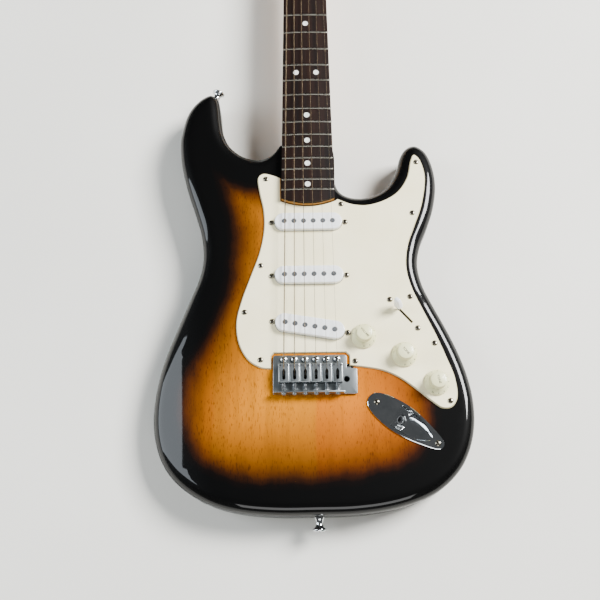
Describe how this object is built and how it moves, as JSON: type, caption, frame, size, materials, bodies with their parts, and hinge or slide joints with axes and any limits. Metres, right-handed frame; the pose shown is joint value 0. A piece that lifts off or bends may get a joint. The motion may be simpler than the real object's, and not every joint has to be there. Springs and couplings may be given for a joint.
{
  "type": "electric guitar",
  "caption": "Double-cutaway solid-body electric guitar with a bolt-on neck, pickguard-mounted single-coil pickups and a rocking tremolo bridge.",
  "frame": {"origin": "On the outer face of the tremolo cavity's back cover, which the guitar lies on, under the centre of the strings and on the line of the saddles.", "axes": "+X across the strings towards the treble side, +Y along the neck towards the headstock, +Z out of the front of the body."},
  "size_m": [0.3181, 0.9863, 0.0687],
  "materials": {
    "sunburst_body": "gloss lacquer, two-tone sunburst",
    "maple": "gloss lacquer over light maple",
    "rosewood": "oiled",
    "cream_plastic": "gloss",
    "white_plastic": "satin gloss",
    "aged_white_plastic": "gloss",
    "bone_plastic": "polished bone look",
    "pearl": "pearl",
    "black_fibre": "matte",
    "copper_wire": "enamelled wire",
    "cloth_wire": "cloth-covered wire",
    "fret_wire": "polished nickel silver",
    "string_steel": "plain and wound steel",
    "steel": "bright steel",
    "cast_steel": "smooth cast",
    "satin_chrome": "slightly satin chrome",
    "chrome": "polished chrome",
    "nickel_screws": "nickel plate"
  },
  "bodies": {
    "guitar": {"body": "sunburst_body", "pickguard": "cream_plastic", "pickguard_screws": "nickel_screws", "neck": "maple", "fretboard": "rosewood", "frets": "fret_wire", "nut": "bone_plastic", "position_dots": "pearl", "truss_rod": "steel", "neck_plate": "chrome", "neck_screws": "nickel_screws", "string_trees": "nickel_screws", "headstock_screws": "nickel_screws", "tuner_housings": "chrome", "tuner_bushings": "chrome", "pivot_screws": "nickel_screws", "tremolo_springs": "steel", "spring_claw": "steel", "claw_screws": "steel", "back_cover": "cream_plastic", "back_cover_screws": "nickel_screws", "pickup_covers": "white_plastic", "pickup_bobbins": "black_fibre", "pickup_coils": "copper_wire", "pole_magnets": "steel", "pickup_screws": "nickel_screws", "pickup_springs": "steel", "potentiometers": "steel", "wiring": "cloth_wire", "switch_frame": "steel", "switch_screws": "nickel_screws", "jack_plate": "chrome", "jack_socket": "chrome", "jack_plate_screws": "nickel_screws", "strap_buttons": "chrome", "strings": "string_steel"},
    "tremolo": {"bridge_plate": "satin_chrome", "sustain_block": "cast_steel", "block_screws": "steel", "saddles": "satin_chrome", "saddle_height_screws": "steel", "intonation_screws": "nickel_screws", "intonation_springs": "steel"},
    "tuner_1_post": {"tuner_post_1": "chrome"},
    "tuner_2_post": {"tuner_post_2": "chrome"},
    "tuner_3_post": {"tuner_post_3": "chrome"},
    "tuner_4_post": {"tuner_post_4": "chrome"},
    "tuner_5_post": {"tuner_post_5": "chrome"},
    "tuner_6_post": {"tuner_post_6": "chrome"},
    "tuner_1_key": {"tuner_key_1": "chrome"},
    "tuner_2_key": {"tuner_key_2": "chrome"},
    "tuner_3_key": {"tuner_key_3": "chrome"},
    "tuner_4_key": {"tuner_key_4": "chrome"},
    "tuner_5_key": {"tuner_key_5": "chrome"},
    "tuner_6_key": {"tuner_key_6": "chrome"},
    "volume_control": {"volume_knob": "aged_white_plastic"},
    "neck_tone_control": {"neck_tone_knob": "aged_white_plastic"},
    "middle_tone_control": {"middle_tone_knob": "aged_white_plastic"},
    "selector": {"switch_lever": "steel", "switch_tip": "white_plastic"}
  },
  "joints": [
    {"name": "tremolo_rock", "type": "hinge", "parent": "guitar", "child": "tremolo", "pos_m": [0, 0.01, 0.0486], "axis": [-1, 0, 0], "range_deg": [-2, 10], "stiffness_Nm_per_rad": 16, "deforming": ["strings", "tremolo_springs"]},
    {"name": "tuner_1_key_turn", "type": "hinge", "parent": "guitar", "child": "tuner_1_key", "pos_m": [-0.01865, 0.69267, 0.0245], "axis": [-0.9672, 0.254, 0], "continuous": true},
    {"name": "tuner_1_post_turn", "type": "hinge", "parent": "guitar", "child": "tuner_1_post", "pos_m": [-0.0204, 0.686, 0.031], "axis": [0, 0, 1], "continuous": true},
    {"name": "tuner_2_key_turn", "type": "hinge", "parent": "guitar", "child": "tuner_2_key", "pos_m": [-0.01219, 0.71727, 0.0245], "axis": [-0.9672, 0.254, 0], "continuous": true},
    {"name": "tuner_2_post_turn", "type": "hinge", "parent": "guitar", "child": "tuner_2_post", "pos_m": [-0.01394, 0.7106, 0.031], "axis": [0, 0, 1], "continuous": true},
    {"name": "tuner_3_key_turn", "type": "hinge", "parent": "guitar", "child": "tuner_3_key", "pos_m": [-0.00573, 0.74187, 0.0245], "axis": [-0.9672, 0.254, 0], "continuous": true},
    {"name": "tuner_3_post_turn", "type": "hinge", "parent": "guitar", "child": "tuner_3_post", "pos_m": [-0.00748, 0.7352, 0.031], "axis": [0, 0, 1], "continuous": true},
    {"name": "tuner_4_key_turn", "type": "hinge", "parent": "guitar", "child": "tuner_4_key", "pos_m": [0.00073, 0.76647, 0.0245], "axis": [-0.9672, 0.254, 0], "continuous": true},
    {"name": "tuner_4_post_turn", "type": "hinge", "parent": "guitar", "child": "tuner_4_post", "pos_m": [-0.00102, 0.7598, 0.031], "axis": [0, 0, 1], "continuous": true},
    {"name": "tuner_5_key_turn", "type": "hinge", "parent": "guitar", "child": "tuner_5_key", "pos_m": [0.00719, 0.79107, 0.0245], "axis": [-0.9672, 0.254, 0], "continuous": true},
    {"name": "tuner_5_post_turn", "type": "hinge", "parent": "guitar", "child": "tuner_5_post", "pos_m": [0.00544, 0.7844, 0.031], "axis": [0, 0, 1], "continuous": true},
    {"name": "tuner_6_key_turn", "type": "hinge", "parent": "guitar", "child": "tuner_6_key", "pos_m": [0.01365, 0.81567, 0.0245], "axis": [-0.9672, 0.254, 0], "continuous": true},
    {"name": "tuner_6_post_turn", "type": "hinge", "parent": "guitar", "child": "tuner_6_post", "pos_m": [0.0119, 0.809, 0.031], "axis": [0, 0, 1], "continuous": true},
    {"name": "volume_turn", "type": "hinge", "parent": "guitar", "child": "volume_control", "pos_m": [0.0537, 0.0332, 0.05], "axis": [0, 0, 1], "range_deg": [0, 300]},
    {"name": "neck_tone_turn", "type": "hinge", "parent": "guitar", "child": "neck_tone_control", "pos_m": [0.0933, 0.0139, 0.05], "axis": [0, 0, 1], "range_deg": [0, 300]},
    {"name": "middle_tone_turn", "type": "hinge", "parent": "guitar", "child": "middle_tone_control", "pos_m": [0.1237, -0.015, 0.05], "axis": [0, 0, 1], "range_deg": [0, 300]},
    {"name": "selector_tilt", "type": "hinge", "parent": "guitar", "child": "selector", "pos_m": [0.0947, 0.0565, 0.025], "axis": [0.7513, 0.66, 0], "range_deg": [0, 32]}
  ],
  "couplings": [
    {"joint": "tuner_1_post_turn", "follows": "tuner_1_key_turn", "ratio": 0.066667},
    {"joint": "tuner_2_post_turn", "follows": "tuner_2_key_turn", "ratio": 0.066667},
    {"joint": "tuner_3_post_turn", "follows": "tuner_3_key_turn", "ratio": 0.066667},
    {"joint": "tuner_4_post_turn", "follows": "tuner_4_key_turn", "ratio": 0.066667},
    {"joint": "tuner_5_post_turn", "follows": "tuner_5_key_turn", "ratio": 0.066667},
    {"joint": "tuner_6_post_turn", "follows": "tuner_6_key_turn", "ratio": 0.066667}
  ]
}
